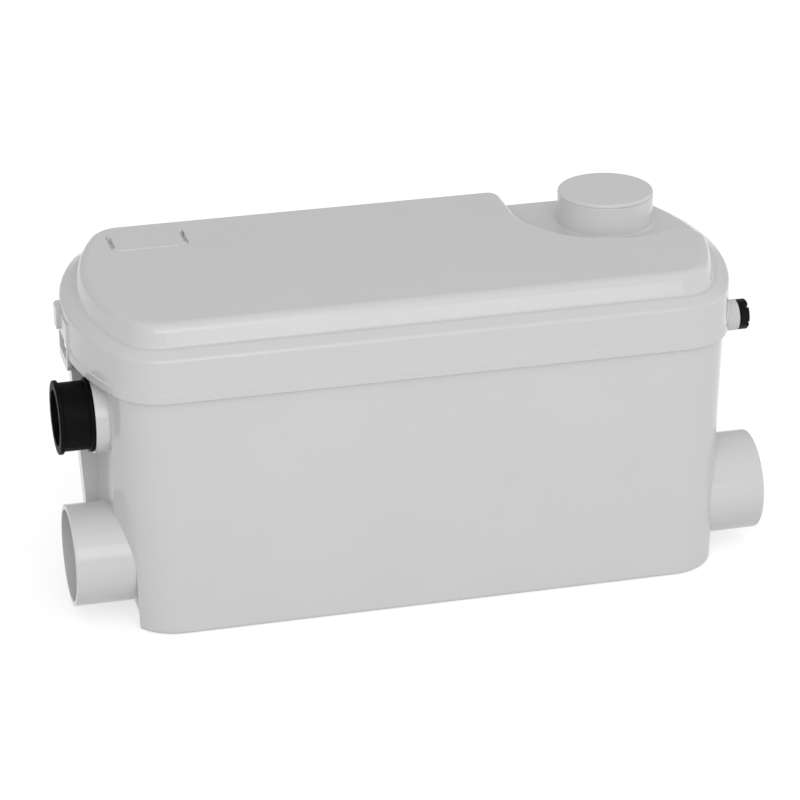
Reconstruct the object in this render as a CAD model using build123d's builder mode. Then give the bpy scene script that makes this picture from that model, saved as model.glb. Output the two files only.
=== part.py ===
from build123d import *
from math import asin, atan2, cos, degrees, radians, sin, sqrt
import os

os.makedirs("parts", exist_ok=True)

# Clearances, and the overrun that all cuts share
overrun = 1.0
slip_gap = 0.3
running_gap = 0.05
seal_gap = 0.1

# Lid outline seen from above: a rectangle whose ends bow outwards
lid_length = 333.7
lid_width = 156.6
lid_end_radius = 142.0
lid_corner_radius = 28.0

# Lid heights and walls
skirt_bottom = 123.5
skirt_height = 21.9
skirt_wall = 2.2
lip_height = 5.0
lip_step = 0.6
lip_rounding = 0.5
shoulder_width = 6.4
shoulder_top_rounding = 3.0
shoulder_rise = 3.3
shoulder_rounding = 2.2
shoulder_thickness = 2.9
plateau_inset = 8.5
plateau_height = 11.0
plateau_draft = 14.0
plateau_rounding = 5.0
plateau_foot_rounding = 1.3
plateau_wall = 2.6

# Scoop in the plateau round the top port, and its two outer corners
port_end_setback = 47.15
port_back_setback = 41.3
scoop_radius = 46.6
scoop_back_corner = 9.0
scoop_end_corner = 14.0

# Tank outline at the floor, set in from the lid's, walls and floor
base_end_inset = 9.75
base_side_inset = 2.5
base_end_radius = 200.0
base_corner_radius = 25.0
base_edge_rounding = 2.0
tank_wall = 3.0
tank_floor = 3.5
gasket_thickness = 1.5

# Recesses in the tank's left end, measured from the lid's end and front
upper_recess_depth = 13.9
lower_recess_depth = 24.85
upper_recess_setback = 24.3
lower_recess_setback = 12.9
recess_far_setback = 76.0

# Side inlets
inlet_front_setback = 38.3
inlet_z = 32.0
inlet_reach = 7.55
inlet_outer_radius = 25.0
inlet_mouth_radius = 22.6
inlet_mouth_depth = 8.0
inlet_bore_radius = 20.3
inlet_bore_length = 19.4
inlet_seat_depth = 8.0
inlet_seat_radius = 21.8
inlet_rim_rounding = 0.6

# Non-return flap inside each inlet
seat_bore_radius = 17.0
seat_flange_radius = 24.6
seat_flange_thickness = 2.5
flap_radius = 20.0
flap_thickness = 2.5
flap_pin_radius = 1.5
flap_pin_drop = 3.0
flap_pin_rise = 22.6
flap_knuckle_radius = 2.6
flap_knuckle_width = 16.0
flap_ear_thickness = 2.8
flap_ear_radius = 3.4

# Discharge through the left end
discharge_front_setback = 46.1
discharge_drop = 21.1
sleeve_length = 17.1
collar_setback = 7.15
collar_radius = 19.0
chamber_radius = 16.2
sleeve_bore_radius = 14.0
sleeve_root_radius = 16.0
sleeve_body_radius = 16.8
sleeve_flange_radius = 18.1
sleeve_flange_width = 2.3
sleeve_rounding = 0.6
sleeve_root_length = 12.7
pipe_outer_radius = 11.0
pipe_bore_radius = 8.4
valve_chamber_length = 37.7
valve_seat_thickness = 6.0
valve_socket_length = 16.0
valve_socket_radius = 14.0
valve_socket_margin = 5.0
check_flap_radius = 11.5
check_flap_thickness = 2.0
check_pin_radius = 1.0
check_pin_rise = 12.7
check_pin_drop = 3.4
check_knuckle_radius = 2.1
check_knuckle_width = 11.0
check_ear_thickness = 1.8

# Internal discharge pipe
riser_run = 24.0
riser_bend = 18.0
pump_joint_x = 49.4
joint_gap = 0.4
coupling_radius = 14.0
coupling_length = 17.0

# Cable gland in the right end
gland_front_setback = 58.3
gland_drop = 9.3
gland_reach = 4.95
gland_boss_radius = 7.9
gland_boss_rounding = 0.6
gland_bore_radius = 5.6
gland_nut_radius = 7.7
gland_nut_length = 5.2
gland_shank_radius = 5.3
gland_shank_length = 6.0
gland_nut_bore = 4.2
gland_nut_rounding = 0.8
gland_notches = 5
gland_notch_turn = 54.0
gland_notch_width = 2.0
gland_notch_depth = 1.8
gland_bush_length = 9.0
gland_bush_bore = 3.4

# Snap catches: a flap with a window at each end of the lid, and a finger tab beside the left one
catch_face_width = 23.0
catch_foot_width = 29.0
catch_foot_inset = 1.4
catch_top = 141.5
catch_width = 26.0
catch_bottom = 116.3
catch_corner = 4.5
catch_window_width = 20.6
catch_window_bottom = 121.5
catch_window_height = 9.0
catch_window_corner = 1.0
catch_bead_width = 18.0
catch_bead_rise = 0.2
catch_bead_bottom = 123.6
catch_bead_height = 5.0
tab_near = 9.0
tab_width = 8.0
tab_reach = 1.45
tab_bottom = 131.0
tab_top = 143.0
tab_chamfer = 1.2

# Deck plate between the wet and the dry compartment
deck_rise = 4.5
deck_thickness = 4.0
deck_ledge_width = 5.0
deck_ledge_height = 3.0
deck_screw_end_setback = 68.85
deck_screw_side_setback = 12.0
deck_boss_radius = 4.6
deck_boss_height = 16.0
deck_screw_radius = 1.8
deck_screw_length = 14.0
deck_screw_head_radius = 3.4
deck_screw_head_height = 2.4

# Top port and its cap
port_radius = 24.4
port_rise = 15.9
port_mouth_radius = 22.2
port_mouth_depth = 11.2
tube_reach = 6.0
port_foot_rounding = 1.2
port_lip_rounding = 0.8
cap_head_height = 1.6
cap_rounding = 1.3
cap_seam = 0.1
cap_plug_radius = 21.9
cap_plug_length = 7.0
cap_plug_wall = 3.0
cap_ring_radius = 0.9
cap_ring_drop = 3.6

# Vent hatch, filter and vent tube
hatch_end_setback = 50.55
hatch_back_setback = 35.0
hatch_length = 38.4
hatch_width = 24.0
hatch_corner = 5.0
hatch_thickness = 2.4
hatch_gap = 0.4
hatch_rise = 0.4
hatch_rounding = 0.6
pry_length = 16.0
pry_width = 1.9
pry_corner = 1.2
filter_length = 31.0
filter_width = 18.0
filter_height = 9.0
filter_gap = 0.5
filter_box_wall = 1.8
vent_tube_radius = 7.0
vent_bore_radius = 5.0

# Motor, hung from the deck
motor_radius = 47.0
motor_wall = 3.0
motor_bottom = 43.0
motor_base_thickness = 4.0
motor_flange_radius = 63.0
motor_flange_thickness = 3.0
motor_mount_height = 2.4
motor_mount_radius = 6.0
motor_mount_circle = 57.0
motor_mount_screw = 2.4
motor_mount_screw_head = 4.4
motor_mount_screw_head_height = 3.0
motor_hole_gap = 1.5
motor_screw_circle = 51.0
motor_ear_radius = 5.0
motor_screw_radius = 1.9
motor_screw_head = 3.4
motor_screw_head_height = 2.4
cap_flange_thickness = 2.6
motor_dome_height = 13.5
motor_dome_rounding = 6.0
stator_bottom = 66.0
stator_height = 40.0
stator_bore_radius = 25.0
winding_outer_radius = 40.0
winding_inner_radius = 28.0
winding_height = 9.0
rotor_radius = 24.5
shaft_radius = 5.0
shaft_bottom = 5.6
shaft_top_gap = 1.5
bearing_radius = 13.0
bearing_width = 8.0
bearing_race = 2.2
bearing_hub_wall = 4.0
seal_radius = 9.0
seal_lip = 1.6
seal_height = 3.6

# Pump below the motor
volute_radius = 44.0
volute_chamber_radius = 38.5
volute_height = 25.0
volute_roof = 4.0
cover_thickness = 3.5
cover_eye_radius = 15.0
pump_screw_circle = 47.0
pump_ear_radius = 5.6
pump_ear_height = 9.0
pump_screw_radius = 1.9
pump_screw_length = 36.0
pump_screw_head = 3.6
pump_screw_head_height = 2.6
impeller_radius = 34.0
impeller_disc = 2.5
impeller_vane_height = 14.0
impeller_vane_thickness = 2.6
impeller_vanes = 5
impeller_vane_bend = 20.0
impeller_hub_radius = 8.5
impeller_lift = 1.2
cutter_reach = 24.0
cutter_width = 11.0
cutter_thickness = 2.6
cutter_gap = 2.0
shaft_nut_height = 4.0
shaft_nut_flats = 14.0
strainer_radius = 36.0
strainer_wall = 2.2
strainer_height = 10.6
strainer_slots = 18
strainer_slot_width = 5.0
strainer_slot_margin = 2.4

# Pressure switch
switch_end_setback = 85.85
switch_front_setback = 42.3
bell_radius = 15.0
bell_wall = 2.2
bell_bottom = 14.0
bell_cup_radius = 24.5
bell_cup_height = 6.0
membrane_thickness = 1.0
switch_cover_height = 8.5
switch_cover_wall = 2.0
plunger_disc_radius = 10.0
plunger_disc_thickness = 1.6
plunger_stem_radius = 2.5
plunger_stem_length = 6.5
plunger_hole_gap = 0.3
spring_wire_radius = 0.45
spring_radius = 5.2
spring_turns = 4.0
micro_length = 20.0
micro_width = 8.0
micro_height = 8.8
micro_socket_radius = 3.0
micro_socket_depth = 3.4

# Electrical pieces on the deck
capacitor_end_setback = 68.85
capacitor_front_setback = 52.3
capacitor_radius = 10.4
capacitor_length = 46.0
capacitor_rounding = 1.5
clip_width = 12.0
clip_thickness = 1.4
clip_foot = 9.0
terminal_end_setback = 40.35
terminal_front_setback = 34.3
terminal_length = 34.0
terminal_width = 15.0
terminal_height = 9.8
terminal_count = 3
terminal_screw_radius = 2.4
terminal_screw_depth = 4.0
grommet_end_setback = 28.85
grommet_front_setback = 60.3
grommet_bore = 3.6
grommet_hole_radius = 6.5
grommet_flange_radius = 9.0
grommet_flange_height = 1.8

# Heights worked out from the sizes above
skirt_top = skirt_bottom + skirt_height
plateau_foot = skirt_top + shoulder_rise
plateau_top = plateau_foot + plateau_height
port_top = plateau_foot + port_rise
lid_underside = skirt_top - shoulder_thickness
rim_top = lid_underside - gasket_thickness
rim_inset = skirt_wall + slip_gap
deck_bottom = skirt_bottom + deck_rise
deck_top = deck_bottom + deck_thickness
tube_bottom = deck_bottom - tube_reach
discharge_z = skirt_bottom - discharge_drop
gland_z = skirt_bottom - gland_drop
flange_bottom = deck_top + motor_mount_height
flange_top = flange_bottom + motor_flange_thickness
cover_top = motor_bottom - volute_height
cover_bottom = cover_top - cover_thickness
chamber_top = motor_bottom - volute_roof
pump_outlet_z = (cover_top + motor_bottom) / 2

# Places along the pump, counted outwards from its middle
half_length = lid_length / 2
inlet_face = half_length + inlet_reach
inlet_bore_end = inlet_face - inlet_mouth_depth - inlet_bore_length
inlet_inner_end = inlet_bore_end - inlet_seat_depth
collar_face = half_length - collar_setback
sleeve_face = collar_face + sleeve_length
sleeve_root_end = collar_face - sleeve_root_length
valve_seat_x = collar_face - valve_chamber_length
valve_shoulder_x = valve_seat_x - valve_seat_thickness
valve_inner_end = valve_shoulder_x - valve_socket_length
valve_socket_stop = valve_shoulder_x - valve_socket_margin
riser_x = valve_inner_end - riser_run
upper_recess_x = half_length - upper_recess_depth
lower_recess_x = half_length - lower_recess_depth
gland_boss_face = half_length + gland_reach
port_x = half_length - port_end_setback
hatch_x = half_length - hatch_end_setback
deck_screw_x = half_length - deck_screw_end_setback
switch_x = half_length - switch_end_setback
capacitor_x = half_length - capacitor_end_setback
terminal_x = half_length - terminal_end_setback
grommet_x = half_length - grommet_end_setback

# Places across the pump, counted towards the front, and for the port and hatch towards the back
half_width = lid_width / 2
inlet_y = half_width - inlet_front_setback
discharge_y = half_width - discharge_front_setback
upper_recess_front = half_width - upper_recess_setback
lower_recess_front = half_width - lower_recess_setback
recess_far_side = half_width - recess_far_setback
gland_y = half_width - gland_front_setback
deck_screw_y = half_width - deck_screw_side_setback
port_y = half_width - port_back_setback
hatch_y = half_width - hatch_back_setback
switch_y = half_width - switch_front_setback
capacitor_y = half_width - capacitor_front_setback
terminal_y = half_width - terminal_front_setback
grommet_y = half_width - grommet_front_setback


def bowed_rectangle(length, width, end_radius, corner_radius):
    """Outline with straight long sides, rounded corners and bowed ends."""
    half_width = width / 2
    end_centre = length / 2 - end_radius
    corner_y = half_width - corner_radius
    corner_x = end_centre + sqrt((end_radius - corner_radius) ** 2 - corner_y ** 2)
    turn = degrees(atan2(corner_y, corner_x - end_centre))
    with BuildSketch() as outline:
        with BuildLine():
            CenterArc((end_centre, 0), end_radius, -turn, 2 * turn)
            CenterArc((corner_x, corner_y), corner_radius, turn, 90 - turn)
            CenterArc((corner_x, -corner_y), corner_radius, -90, 90 - turn)
            mirror(about=Plane.YZ)
            Line((-corner_x, half_width), (corner_x, half_width))
            Line((-corner_x, -half_width), (corner_x, -half_width))
        make_face()
    return outline.sketch


def lid_outline(inset):
    """The lid's outline, set in by a distance."""
    return bowed_rectangle(
        lid_length - 2 * inset, lid_width - 2 * inset, lid_end_radius - inset, lid_corner_radius - inset
    )


def block(low, high, mode=Mode.ADD):
    """A box from its lowest to its highest corner."""
    centre = tuple((a + b) / 2 for a, b in zip(low, high))
    with Locations(centre):
        Box(high[0] - low[0], high[1] - low[1], high[2] - low[2], mode=mode)


def post(centre, radius, bottom, top, mode=Mode.ADD):
    """An upright cylinder."""
    with BuildSketch(Plane.XY.offset(bottom)) as profile:
        with Locations(centre):
            Circle(radius)
    extrude(profile.sketch, amount=top - bottom, mode=mode)


def rod(y, z, radius, start, end, mode=Mode.ADD):
    """A cylinder along X, from one x to another."""
    with BuildSketch(Plane.YZ.offset(start)) as profile:
        with Locations((y, z)):
            Circle(radius)
    extrude(profile.sketch, amount=end - start, mode=mode)


def cross_rod(x, z, radius, start, end, mode=Mode.ADD):
    """A cylinder along Y, from one y to another."""
    with BuildSketch(Plane.XZ.offset(-start)) as profile:
        with Locations((x, z)):
            Circle(radius)
    extrude(profile.sketch, amount=start - end, mode=mode)


def edges_at(piece, height):
    """The edges of a piece that lie level at one height."""
    return piece.edges().filter_by_position(Axis.Z, height - running_gap, height + running_gap)


def edges_across(piece, x):
    """The edges of a piece that lie square to X at one place."""
    return piece.edges().filter_by_position(Axis.X, x - running_gap, x + running_gap)


def around(circle_radius, first_angle, count=4):
    """Centres spread evenly round the motor's axis."""
    angles = [radians(first_angle + k * 360 / count) for k in range(count)]
    return [(circle_radius * cos(a), circle_radius * sin(a)) for a in angles]


def save(piece, name):
    """Label a finished piece and write it."""
    piece.part.label = name
    export_step(piece.part, f"parts/{name}.step")


# Tank

base_length = lid_length - 2 * base_end_inset
base_width = lid_width - 2 * base_side_inset
base_plan = bowed_rectangle(base_length, base_width, base_end_radius, base_corner_radius)
base_inner_plan = bowed_rectangle(
    base_length - 2 * tank_wall,
    base_width - 2 * tank_wall,
    base_end_radius - tank_wall,
    base_corner_radius - tank_wall,
)
rim_plan = lid_outline(rim_inset)
rim_inner_plan = lid_outline(rim_inset + tank_wall)
ledge_inner_plan = lid_outline(rim_inset + tank_wall + deck_ledge_width)
deck_screw_places = [(x, y) for x in (-deck_screw_x, 0, deck_screw_x) for y in (-deck_screw_y, deck_screw_y)]

with BuildPart() as tank_space:
    with BuildSketch(Plane.XY.offset(tank_floor)):
        add(base_inner_plan)
    with BuildSketch(Plane.XY.offset(skirt_bottom)):
        add(rim_inner_plan)
    loft(ruled=True)
    with BuildSketch(Plane.XY.offset(skirt_bottom)):
        add(rim_inner_plan)
    extrude(amount=rim_top + overrun - skirt_bottom)
    block(
        (-half_length, -upper_recess_front - tank_wall, inlet_z),
        (-upper_recess_x + tank_wall, -recess_far_side + tank_wall, skirt_bottom + tank_wall),
        Mode.SUBTRACT,
    )
    block(
        (-half_length, -lower_recess_front - tank_wall, 0),
        (-lower_recess_x + tank_wall, -recess_far_side + tank_wall, inlet_z),
        Mode.SUBTRACT,
    )

with BuildPart() as tank:
    with BuildSketch():
        add(base_plan)
    with BuildSketch(Plane.XY.offset(skirt_bottom)):
        add(rim_plan)
    loft(ruled=True)
    fillet(tank.edges().group_by(Axis.Z)[0], base_edge_rounding)
    with BuildSketch(Plane.XY.offset(skirt_bottom)):
        add(rim_plan)
    extrude(amount=rim_top - skirt_bottom)
    block(
        (-half_length, -upper_recess_front, inlet_z),
        (-upper_recess_x, -recess_far_side, skirt_bottom),
        Mode.SUBTRACT,
    )
    block(
        (-half_length, -lower_recess_front, -overrun),
        (-lower_recess_x, -recess_far_side, inlet_z),
        Mode.SUBTRACT,
    )
    add(tank_space.part, mode=Mode.SUBTRACT)
    # Ledge and screw bosses that carry the deck
    with BuildSketch(Plane.XY.offset(deck_bottom - deck_ledge_height)):
        add(rim_inner_plan)
        add(ledge_inner_plan, mode=Mode.SUBTRACT)
    extrude(amount=deck_ledge_height)
    for place in deck_screw_places:
        post(place, deck_boss_radius, deck_bottom - deck_boss_height, deck_bottom)
        post(place, deck_screw_radius, deck_bottom - deck_screw_length, deck_bottom, Mode.SUBTRACT)
    for side in (-1, 1):
        # Inlet stub, its mouth, its bore and the counterbore that takes the flap's seat
        rod(-inlet_y, inlet_z, inlet_outer_radius, side * inlet_inner_end, side * inlet_face)
        fillet(edges_across(tank, side * inlet_face), inlet_rim_rounding)
        rod(-inlet_y, inlet_z, inlet_bore_radius, side * (inlet_inner_end - overrun),
            side * (inlet_face + overrun), Mode.SUBTRACT)
        rod(-inlet_y, inlet_z, inlet_mouth_radius, side * (inlet_face - inlet_mouth_depth),
            side * (inlet_face + overrun), Mode.SUBTRACT)
        rod(-inlet_y, inlet_z, inlet_seat_radius, side * (inlet_inner_end - overrun),
            side * inlet_bore_end, Mode.SUBTRACT)
        # Bead that the lid's flap clips over
        bead = sorted((side * (half_length - rim_inset - tank_wall), side * (half_length - rim_inset + catch_bead_rise)))
        block((bead[0], -catch_bead_width / 2, catch_bead_bottom),
              (bead[1], catch_bead_width / 2, catch_bead_bottom + catch_bead_height))
    # Hole for the discharge valve
    rod(-discharge_y, discharge_z, collar_radius, -half_length, -upper_recess_x + tank_wall + overrun,
        Mode.SUBTRACT)
    # Boss for the cable gland
    gland_root = half_length - rim_inset - tank_wall - gland_boss_radius
    rod(-gland_y, gland_z, gland_boss_radius, gland_root, gland_boss_face)
    fillet(edges_across(tank, gland_boss_face), gland_boss_rounding)
    rod(-gland_y, gland_z, gland_bore_radius, gland_boss_face - gland_shank_length - gland_bush_length,
        gland_boss_face + overrun, Mode.SUBTRACT)
    rod(-gland_y, gland_z, gland_nut_bore, gland_root - overrun, gland_boss_face, Mode.SUBTRACT)
save(tank, "tank")

# Gasket between the tank's rim and the lid

with BuildPart() as lid_gasket:
    with BuildSketch(Plane.XY.offset(rim_top)):
        add(rim_plan)
        add(rim_inner_plan, mode=Mode.SUBTRACT)
    extrude(amount=gasket_thickness)
save(lid_gasket, "lid_gasket")

# Lid

def plateau_plan(inset, radius):
    """The plateau's outline with the scoop round the port taken out."""
    with BuildSketch() as plan:
        add(lid_outline(inset))
        with Locations((port_x, port_y)):
            Circle(radius, mode=Mode.SUBTRACT)
        with Locations((port_x - radius, port_y)):
            Rectangle(lid_length, lid_width, align=(Align.MIN, Align.MIN), mode=Mode.SUBTRACT)
    return plan.sketch


def rounded_plateau_plan():
    """The plateau's outline with its two corners at the scoop rounded."""
    with BuildSketch() as plan:
        add(plateau_plan(plateau_inset, scoop_radius))
        corners = plan.vertices()
        back_corner = corners.filter_by_position(
            Axis.X, port_x - scoop_radius - slip_gap, port_x - scoop_radius + slip_gap
        ).sort_by(Axis.Y)[-1]
        fillet(back_corner, scoop_back_corner)
        end_corner = plan.vertices().filter_by_position(Axis.X, port_x, half_length).sort_by(Axis.Y)[-1]
        fillet(end_corner, scoop_end_corner)
    return plan.sketch


lip_plan = lid_outline(0)
skirt_plan = lid_outline(lip_step)
shoulder_plan = lid_outline(shoulder_width)
skirt_inner_plan = lid_outline(skirt_wall)
plateau_outer_plan = rounded_plateau_plan()
plateau_narrowing = plateau_rounding + plateau_wall
plateau_inner_plan = plateau_plan(plateau_inset + plateau_narrowing, scoop_radius + plateau_narrowing)
hatch_floor = plateau_top - hatch_thickness
filter_floor = hatch_floor - filter_height
filter_length_cut = filter_length + 2 * filter_gap
filter_width_cut = filter_width + 2 * filter_gap

with BuildPart() as lid:
    with BuildSketch(Plane.XY.offset(skirt_bottom)):
        add(skirt_plan)
    extrude(amount=skirt_height)
    with BuildSketch(Plane.XY.offset(skirt_top)):
        add(skirt_plan)
    with BuildSketch(Plane.XY.offset(plateau_foot)):
        add(shoulder_plan)
    loft(ruled=True)
    fillet(edges_at(lid, skirt_top), shoulder_rounding)
    fillet(edges_at(lid, plateau_foot), shoulder_top_rounding)
    with BuildSketch(Plane.XY.offset(skirt_bottom)):
        add(lip_plan)
    extrude(amount=lip_height - lip_step)
    with BuildSketch(Plane.XY.offset(skirt_bottom + lip_height - lip_step)):
        add(lip_plan)
    with BuildSketch(Plane.XY.offset(skirt_bottom + lip_height)):
        add(skirt_plan)
    loft(ruled=True)
    fillet(edges_at(lid, skirt_bottom), lip_rounding)
    with BuildSketch(Plane.XY.offset(plateau_foot)):
        add(plateau_outer_plan)
    extrude(amount=plateau_height, taper=plateau_draft)
    fillet(edges_at(lid, plateau_foot), plateau_foot_rounding)
    fillet(edges_at(lid, plateau_top), plateau_rounding)
    post((port_x, port_y), port_radius, plateau_foot - shoulder_thickness, port_top)
    foot_circles = edges_at(lid, plateau_foot).filter_by(GeomType.CIRCLE)
    fillet(foot_circles.filter_by(lambda edge: abs(edge.radius - port_radius) < running_gap), port_foot_rounding)
    fillet(edges_at(lid, port_top), port_lip_rounding)
    # Inside of the skirt and of the plateau
    with BuildSketch(Plane.XY.offset(skirt_bottom - overrun)):
        add(skirt_inner_plan)
    extrude(amount=lid_underside + overrun - skirt_bottom, mode=Mode.SUBTRACT)
    with BuildSketch(Plane.XY.offset(lid_underside - overrun)):
        add(plateau_inner_plan)
    extrude(amount=plateau_top - plateau_wall + overrun - lid_underside, mode=Mode.SUBTRACT)
    # Box for the filter, vent tube and the hatch's recess
    post((-hatch_x, hatch_y), vent_tube_radius, tube_bottom, filter_floor)
    block(
        (-hatch_x - filter_length_cut / 2 - filter_box_wall, hatch_y - filter_width_cut / 2 - filter_box_wall,
         filter_floor - filter_box_wall),
        (-hatch_x + filter_length_cut / 2 + filter_box_wall, hatch_y + filter_width_cut / 2 + filter_box_wall,
         plateau_top - plateau_wall),
    )
    with BuildSketch(Plane.XY.offset(hatch_floor)):
        with Locations((-hatch_x, hatch_y)):
            RectangleRounded(hatch_length + 2 * hatch_gap, hatch_width + 2 * hatch_gap, hatch_corner + hatch_gap)
    extrude(amount=hatch_thickness + overrun, mode=Mode.SUBTRACT)
    block(
        (-hatch_x - filter_length_cut / 2, hatch_y - filter_width_cut / 2, filter_floor),
        (-hatch_x + filter_length_cut / 2, hatch_y + filter_width_cut / 2, hatch_floor + overrun),
        Mode.SUBTRACT,
    )
    post((-hatch_x, hatch_y), vent_bore_radius, tube_bottom - overrun, filter_floor + overrun, Mode.SUBTRACT)
    # Top port: tube down to the wet side, mouth and bore
    post((port_x, port_y), inlet_mouth_radius, tube_bottom, plateau_foot)
    post((port_x, port_y), inlet_bore_radius, tube_bottom - overrun, port_top + overrun, Mode.SUBTRACT)
    post((port_x, port_y), port_mouth_radius, port_top - port_mouth_depth, port_top + overrun, Mode.SUBTRACT)
    # Flap of each snap catch: the raised face with sloped sides, the part that hangs down, and the window
    for side in (-1, 1):
        flap_root = side * (half_length - skirt_wall)
        with BuildSketch(Plane.XY.offset(skirt_bottom)) as raised:
            with BuildLine():
                Polyline(
                    (flap_root, -catch_foot_width / 2),
                    (side * (half_length - catch_foot_inset), -catch_foot_width / 2),
                    (side * half_length, -catch_face_width / 2),
                    (side * half_length, catch_face_width / 2),
                    (side * (half_length - catch_foot_inset), catch_foot_width / 2),
                    (flap_root, catch_foot_width / 2),
                    close=True,
                )
            make_face()
        extrude(amount=catch_top - skirt_bottom)
        with BuildSketch(Plane.YZ.offset(flap_root)) as hanging:
            with BuildLine():
                Polyline(
                    (-catch_width / 2, skirt_bottom + lip_height),
                    (-catch_width / 2, catch_bottom),
                    (catch_width / 2, catch_bottom),
                    (catch_width / 2, skirt_bottom + lip_height),
                    close=True,
                )
            make_face()
            fillet(hanging.vertices().group_by(Axis.Y)[0], catch_corner)
        extrude(amount=side * skirt_wall)
        with BuildSketch(Plane.YZ.offset(side * (half_length + overrun))):
            with Locations((0, catch_window_bottom + catch_window_height / 2)):
                RectangleRounded(catch_window_width, catch_window_height, catch_window_corner)
        extrude(amount=-side * (skirt_wall + 2 * overrun), mode=Mode.SUBTRACT)
    # Finger tab beside the left catch
    block((-half_length - tab_reach, tab_near, tab_bottom),
          (-half_length + catch_foot_inset, tab_near + tab_width, tab_top))
    tab_edges = edges_across(lid, -half_length - tab_reach).filter_by(Axis.Y).sort_by(Axis.Z)
    chamfer(tab_edges[-1], tab_chamfer)
save(lid, "lid")

# Vent hatch, which lifts out with the filter clipped under it

with BuildPart() as vent_cover:
    with BuildSketch(Plane.XY.offset(hatch_floor)):
        with Locations((-hatch_x, hatch_y)):
            RectangleRounded(hatch_length, hatch_width, hatch_corner)
        with Locations((-hatch_x - hatch_length / 2, hatch_y), (-hatch_x + hatch_length / 2, hatch_y)):
            RectangleRounded(2 * pry_width, pry_length, pry_corner, mode=Mode.SUBTRACT)
    extrude(amount=hatch_thickness + hatch_rise)
    fillet(vent_cover.edges().group_by(Axis.Z)[-1], hatch_rounding)
save(vent_cover, "vent_cover")

with BuildPart() as charcoal_filter:
    with BuildSketch(Plane.XY.offset(filter_floor + slip_gap)):
        with Locations((-hatch_x, hatch_y)):
            RectangleRounded(filter_length, filter_width, filter_box_wall)
    extrude(amount=filter_height - slip_gap)
save(charcoal_filter, "charcoal_filter")

# Cap of the top port and its sealing ring

cap_foot = port_top + cap_seam
ring_z = port_top - cap_ring_drop
ring_path_radius = port_mouth_radius - seal_gap - cap_ring_radius

with BuildPart() as port_cap:
    post((port_x, port_y), port_radius, cap_foot, cap_foot + cap_head_height)
    fillet(edges_at(port_cap, cap_foot + cap_head_height), cap_rounding)
    post((port_x, port_y), cap_plug_radius, port_top - cap_plug_length, cap_foot)
    post((port_x, port_y), cap_plug_radius - cap_plug_wall, port_top - cap_plug_length - overrun,
         port_top, Mode.SUBTRACT)
    with BuildSketch(Plane.XZ.offset(-port_y)):
        with Locations((port_x + ring_path_radius, ring_z)):
            Circle(cap_ring_radius)
    revolve(axis=Axis((port_x, port_y, 0), (0, 0, 1)), mode=Mode.SUBTRACT)
save(port_cap, "port_cap")

with BuildPart() as cap_ring:
    with BuildSketch(Plane.XZ.offset(-port_y)):
        with Locations((port_x + ring_path_radius, ring_z)):
            Circle(cap_ring_radius)
    revolve(axis=Axis((port_x, port_y, 0), (0, 0, 1)))
save(cap_ring, "port_cap_ring")

# Non-return flap of each side inlet: seat, flap and pin

flap_seat_face = inlet_inner_end - seat_flange_thickness
flap_pin_x = flap_seat_face - flap_pin_drop
flap_pin_z = inlet_z + flap_pin_rise
flap_face = flap_seat_face - slip_gap
ear_start = flap_knuckle_width / 2 + slip_gap
ear_end = ear_start + flap_ear_thickness

for side, side_name in ((-1, "left"), (1, "right")):
    with BuildPart() as inlet_seat:
        rod(-inlet_y, inlet_z, inlet_seat_radius, side * flap_seat_face, side * inlet_bore_end)
        rod(-inlet_y, inlet_z, seat_flange_radius, side * flap_seat_face, side * inlet_inner_end)
        for ear_side in (-1, 1):
            y_near = -inlet_y + ear_side * ear_start
            y_far = -inlet_y + ear_side * ear_end
            ear = sorted((y_near, y_far))
            cross_rod(side * flap_pin_x, flap_pin_z, flap_ear_radius, ear[0], ear[1])
            reach = sorted((side * flap_pin_x, side * inlet_inner_end))
            block((reach[0], ear[0], flap_pin_z - flap_ear_radius), (reach[1], ear[1], flap_pin_z))
            cross_rod(side * flap_pin_x, flap_pin_z, flap_pin_radius, ear[0] - overrun, ear[1] + overrun,
                      Mode.SUBTRACT)
        rod(-inlet_y, inlet_z, seat_bore_radius, side * (flap_seat_face - overrun),
            side * (inlet_bore_end + overrun), Mode.SUBTRACT)
    save(inlet_seat, f"inlet_seat_{side_name}")

    with BuildPart() as inlet_flap:
        rod(-inlet_y, inlet_z, flap_radius, side * (flap_face - flap_thickness), side * flap_face)
        reach = sorted((side * (flap_face - flap_thickness), side * flap_face))
        block((reach[0], -inlet_y - flap_knuckle_width / 2, inlet_z),
              (reach[1], -inlet_y + flap_knuckle_width / 2, flap_pin_z))
        cross_rod(side * flap_pin_x, flap_pin_z, flap_knuckle_radius,
                  -inlet_y - flap_knuckle_width / 2, -inlet_y + flap_knuckle_width / 2)
        cross_rod(side * flap_pin_x, flap_pin_z, flap_pin_radius + running_gap,
                  -inlet_y - flap_knuckle_width / 2 - overrun,
                  -inlet_y + flap_knuckle_width / 2 + overrun, Mode.SUBTRACT)
    save(inlet_flap, f"inlet_flap_{side_name}")

    with BuildPart() as inlet_flap_pin:
        cross_rod(side * flap_pin_x, flap_pin_z, flap_pin_radius, -inlet_y - ear_end, -inlet_y + ear_end)
    save(inlet_flap_pin, f"inlet_flap_pin_{side_name}")

# Discharge sleeve, valve body, check flap and its pin

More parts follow.
